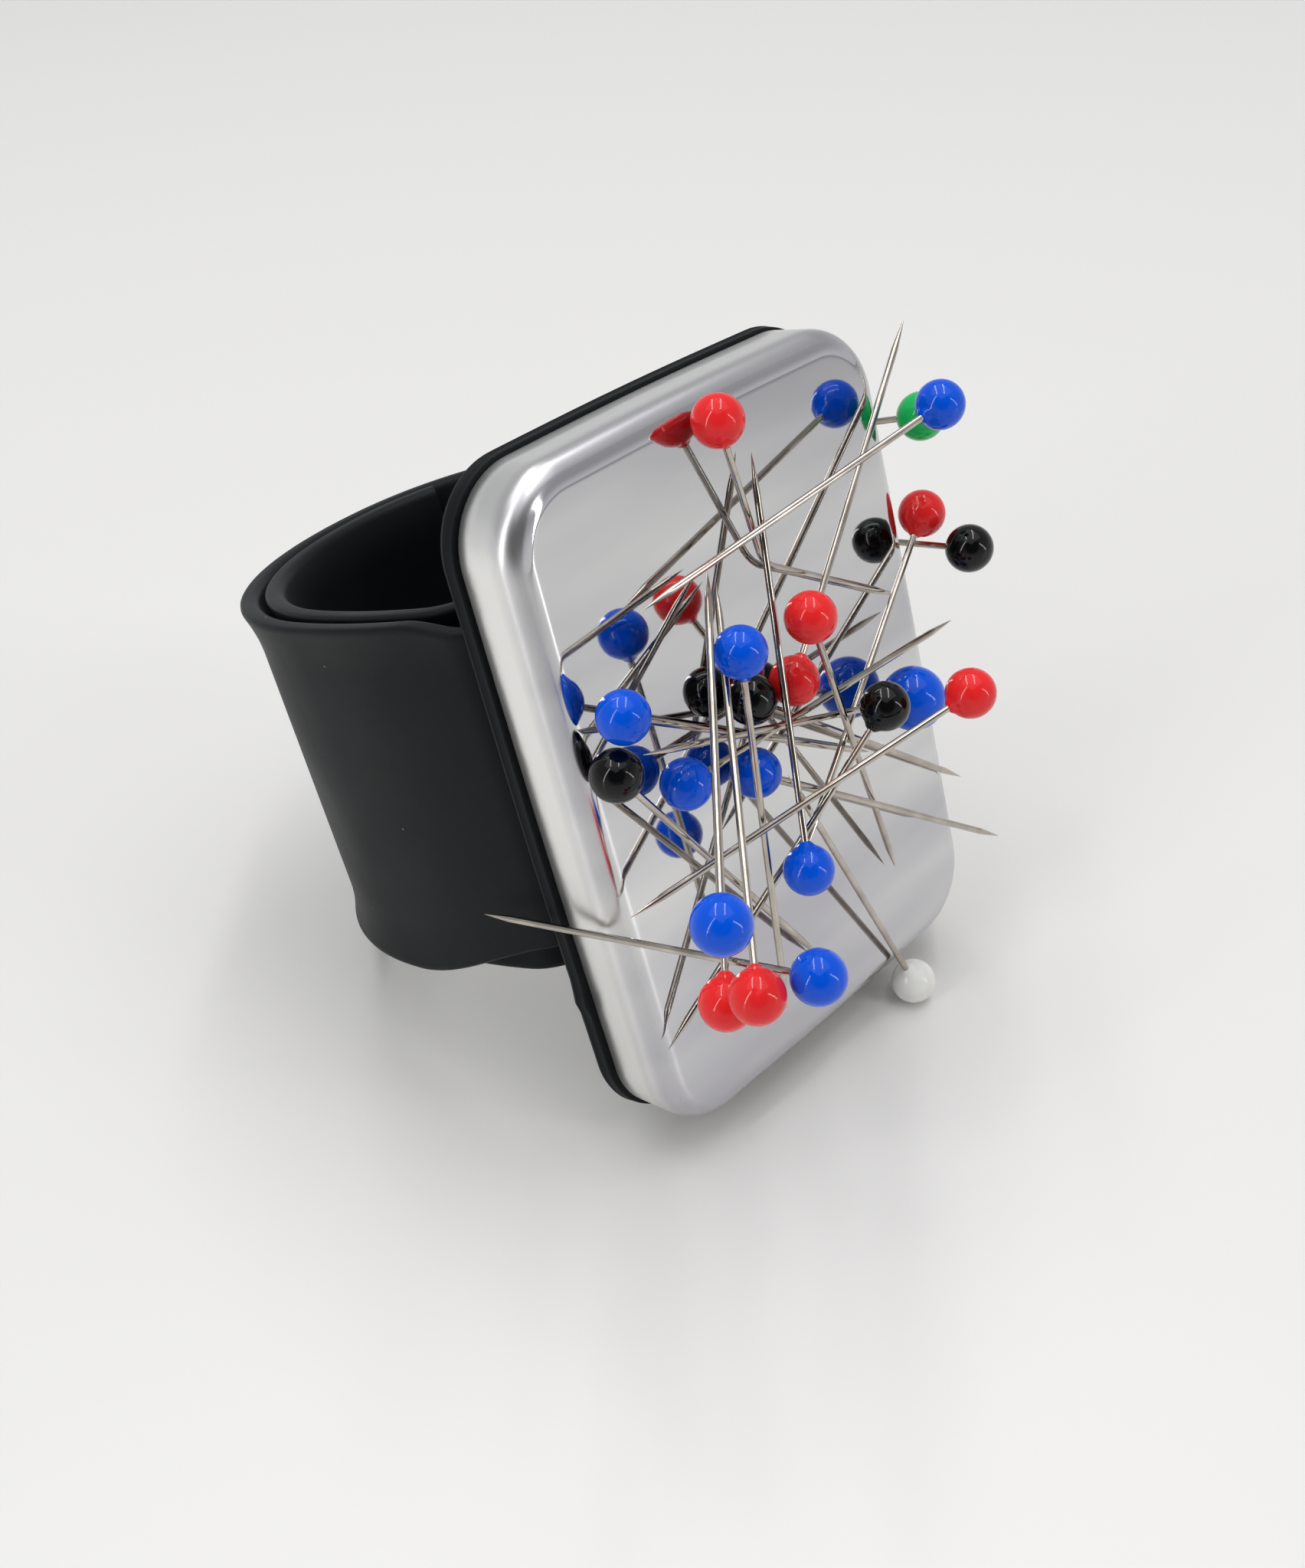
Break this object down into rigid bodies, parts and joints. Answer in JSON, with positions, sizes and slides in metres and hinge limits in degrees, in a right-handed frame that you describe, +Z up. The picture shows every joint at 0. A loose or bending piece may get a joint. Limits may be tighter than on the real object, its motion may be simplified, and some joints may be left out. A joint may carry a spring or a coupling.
{
  "type": "magnetic wrist pin cushion",
  "caption": "Mirror-polished rounded steel plate over a magnet on a silicone slap band, holding ball-head sewing pins.",
  "frame": {"origin": "bottom centre of the bounding box, on the surface it stands on", "axes": "+Z up, -Y the way that the plate's face looks (leaning back by 15.4 degrees), +X to the right as seen from the front"},
  "size_m": [0.0594, 0.0848, 0.0663],
  "materials": {
    "silicone": "matte moulded",
    "mirror_steel": "mirror polished",
    "magnet": "sintered",
    "spring_steel": "rolled",
    "nickelled_steel": "nickel plated",
    "blue_plastic": "glossy",
    "red_plastic": "glossy",
    "black_plastic": "glossy",
    "green_plastic": "glossy",
    "white_plastic": "glossy"
  },
  "bodies": {
    "holder": {"silicone_holder": "silicone", "steel_cap": "mirror_steel", "magnet": "magnet", "spring_strip_root": "spring_steel"},
    "band_1": {"band_sleeve_1": "silicone", "spring_strip_1": "spring_steel"},
    "band_2": {"band_sleeve_2": "silicone", "spring_strip_2": "spring_steel"},
    "band_3": {"band_sleeve_3": "silicone", "spring_strip_3": "spring_steel"},
    "band_4": {"band_sleeve_4": "silicone", "spring_strip_4": "spring_steel"},
    "band_5": {"band_sleeve_5": "silicone", "spring_strip_5": "spring_steel"},
    "band_6": {"band_sleeve_6": "silicone", "spring_strip_6": "spring_steel"},
    "bent_red_pin": {"bent_red_pin_head": "red_plastic", "bent_red_pin_shaft": "nickelled_steel"},
    "black_pin_1": {"black_pin_1_head": "black_plastic", "black_pin_1_shaft": "nickelled_steel"},
    "black_pin_2": {"black_pin_2_head": "black_plastic", "black_pin_2_shaft": "nickelled_steel"},
    "black_pin_3": {"black_pin_3_head": "black_plastic", "black_pin_3_shaft": "nickelled_steel"},
    "black_pin_4": {"black_pin_4_head": "black_plastic", "black_pin_4_shaft": "nickelled_steel"},
    "blue_pin_1": {"blue_pin_1_head": "blue_plastic", "blue_pin_1_shaft": "nickelled_steel"},
    "blue_pin_2": {"blue_pin_2_head": "blue_plastic", "blue_pin_2_shaft": "nickelled_steel"},
    "blue_pin_3": {"blue_pin_3_head": "blue_plastic", "blue_pin_3_shaft": "nickelled_steel"},
    "blue_pin_4": {"blue_pin_4_head": "blue_plastic", "blue_pin_4_shaft": "nickelled_steel"},
    "blue_pin_5": {"blue_pin_5_head": "blue_plastic", "blue_pin_5_shaft": "nickelled_steel"},
    "blue_pin_6": {"blue_pin_6_head": "blue_plastic", "blue_pin_6_shaft": "nickelled_steel"},
    "blue_pin_7": {"blue_pin_7_head": "blue_plastic", "blue_pin_7_shaft": "nickelled_steel"},
    "blue_pin_8": {"blue_pin_8_head": "blue_plastic", "blue_pin_8_shaft": "nickelled_steel"},
    "green_pin": {"green_pin_head": "green_plastic", "green_pin_shaft": "nickelled_steel"},
    "large_blue_pin": {"large_blue_pin_head": "blue_plastic", "large_blue_pin_shaft": "nickelled_steel"},
    "red_pin_1": {"red_pin_1_head": "red_plastic", "red_pin_1_shaft": "nickelled_steel"},
    "red_pin_2": {"red_pin_2_head": "red_plastic", "red_pin_2_shaft": "nickelled_steel"},
    "red_pin_3": {"red_pin_3_head": "red_plastic", "red_pin_3_shaft": "nickelled_steel"},
    "red_pin_4": {"red_pin_4_head": "red_plastic", "red_pin_4_shaft": "nickelled_steel"},
    "red_pin_5": {"red_pin_5_head": "red_plastic", "red_pin_5_shaft": "nickelled_steel"},
    "red_pin_6": {"red_pin_6_head": "red_plastic", "red_pin_6_shaft": "nickelled_steel"},
    "white_pin": {"white_pin_head": "white_plastic", "white_pin_shaft": "nickelled_steel"}
  },
  "joints": [
    {"name": "band_bend_1", "type": "hinge", "parent": "holder", "child": "band_1", "pos_m": [-0.02306, -0.00205, 0.03259], "axis": [0, 0.2576, 0.9662], "range_deg": [0, 85], "stiffness_Nm_per_rad": 0.03, "springref_deg": -28.65, "deforming": ["band_sleeve_1", "spring_strip_1"]},
    {"name": "band_bend_2", "type": "hinge", "parent": "band_1", "child": "band_2", "pos_m": [-0.01598, 0.03008, 0.02196], "axis": [0, 0.2576, 0.9662], "range_deg": [0, 75], "deforming": ["band_sleeve_2", "spring_strip_2"]},
    {"name": "band_bend_3", "type": "hinge", "parent": "band_2", "child": "band_3", "pos_m": [0.01746, 0.03261, 0.02111], "axis": [0, 0.2576, 0.9662], "range_deg": [0, 80], "deforming": ["band_sleeve_3", "spring_strip_3"]},
    {"name": "band_bend_4", "type": "hinge", "parent": "band_3", "child": "band_4", "pos_m": [0.02316, -0.00032, 0.03197], "axis": [0, 0.2576, 0.9662], "range_deg": [0, 67], "deforming": ["band_sleeve_4", "spring_strip_4"]},
    {"name": "band_bend_5", "type": "hinge", "parent": "band_4", "child": "band_5", "pos_m": [-0.0103, -0.00768, 0.03437], "axis": [0, 0.2576, 0.9662], "range_deg": [0, 86], "deforming": ["band_sleeve_5", "spring_strip_5"]},
    {"name": "band_bend_6", "type": "hinge", "parent": "band_5", "child": "band_6", "pos_m": [-0.01953, 0.02117, 0.02491], "axis": [0, 0.2576, 0.9662], "range_deg": [0, 95], "deforming": ["band_sleeve_6", "spring_strip_6"]},
    {"name": "bent_red_pin_pull", "type": "slide", "parent": "holder", "child": "bent_red_pin", "axis": [-0.4612, 0.2408, 0.854], "range_m": [0, 0.012]},
    {"name": "black_pin_1_pull", "type": "slide", "parent": "holder", "child": "black_pin_1", "axis": [1, 0, 0], "range_m": [0, 0.03]},
    {"name": "black_pin_2_pull", "type": "slide", "parent": "holder", "child": "black_pin_2", "axis": [-0.789, 0.0857, 0.6084], "range_m": [0, 0.004]},
    {"name": "black_pin_3_pull", "type": "slide", "parent": "holder", "child": "black_pin_3", "axis": [0.6953, 0.0032, 0.7187], "range_m": [0, 0.03]},
    {"name": "black_pin_4_pull", "type": "slide", "parent": "holder", "child": "black_pin_4", "axis": [-0.9292, 0.0329, 0.368], "range_m": [0, 0.006]},
    {"name": "blue_pin_1_pull", "type": "slide", "parent": "holder", "child": "blue_pin_1", "axis": [0, -0.9662, 0.2576], "range_m": [0, 0.03]},
    {"name": "blue_pin_2_pull", "type": "slide", "parent": "holder", "child": "blue_pin_2", "axis": [0.3037, 0.1094, 0.9465], "range_m": [0, 0.007]},
    {"name": "blue_pin_3_pull", "type": "slide", "parent": "holder", "child": "blue_pin_3", "axis": [-0.8483, 0.1013, 0.5197], "range_m": [0, 0.03]},
    {"name": "blue_pin_4_pull", "type": "slide", "parent": "holder", "child": "blue_pin_4", "axis": [0.1429, -0.951, 0.2743], "range_m": [0, 0.03]},
    {"name": "blue_pin_5_pull", "type": "slide", "parent": "holder", "child": "blue_pin_5", "axis": [0.992, -0.0363, -0.1207], "range_m": [0, 0.004]},
    {"name": "blue_pin_6_pull", "type": "slide", "parent": "holder", "child": "blue_pin_6", "axis": [0.038, -0.1843, -0.9821], "range_m": [0, 0.002]},
    {"name": "blue_pin_7_pull", "type": "slide", "parent": "holder", "child": "blue_pin_7", "axis": [-0.3081, -0.4321, -0.8476], "range_m": [0, 0.03]},
    {"name": "blue_pin_8_pull", "type": "slide", "parent": "holder", "child": "blue_pin_8", "axis": [0, -0.9662, 0.2576], "range_m": [0, 0.03]},
    {"name": "green_pin_pull", "type": "slide", "parent": "holder", "child": "green_pin", "axis": [1, 0, 0], "range_m": [0, 0.03]},
    {"name": "large_blue_pin_pull", "type": "slide", "parent": "holder", "child": "large_blue_pin", "axis": [0.9437, -0.0519, -0.3266], "range_m": [0, 0.03]},
    {"name": "red_pin_1_pull", "type": "slide", "parent": "holder", "child": "red_pin_1", "axis": [0.8307, 0.2633, 0.4905], "range_m": [0, 0.03]},
    {"name": "red_pin_2_pull", "type": "slide", "parent": "holder", "child": "red_pin_2", "axis": [-0.3259, 0.0429, 0.9444], "range_m": [0, 0.03]},
    {"name": "red_pin_3_pull", "type": "slide", "parent": "holder", "child": "red_pin_3", "axis": [0.7847, 0.1089, 0.6102], "range_m": [0, 0.016]},
    {"name": "red_pin_4_pull", "type": "slide", "parent": "holder", "child": "red_pin_4", "axis": [0.9202, -0.2858, 0.2677], "range_m": [0, 0.03]},
    {"name": "red_pin_5_pull", "type": "slide", "parent": "holder", "child": "red_pin_5", "axis": [-0.5672, -0.543, -0.6192], "range_m": [0, 0.03]},
    {"name": "red_pin_6_pull", "type": "slide", "parent": "holder", "child": "red_pin_6", "axis": [-0.5648, -0.613, -0.5525], "range_m": [0, 0.03]},
    {"name": "white_pin_pull", "type": "slide", "parent": "holder", "child": "white_pin", "axis": [-0.1, -0.2107, -0.9724], "range_m": [0, 0.03]}
  ],
  "couplings": [
    {"joint": "band_bend_2", "follows": "band_bend_1", "ratio": 0.8824},
    {"joint": "band_bend_3", "follows": "band_bend_1", "ratio": 0.9412},
    {"joint": "band_bend_4", "follows": "band_bend_1", "ratio": 0.7882},
    {"joint": "band_bend_5", "follows": "band_bend_1", "ratio": 1.0118},
    {"joint": "band_bend_6", "follows": "band_bend_1", "ratio": 1.1176}
  ]
}
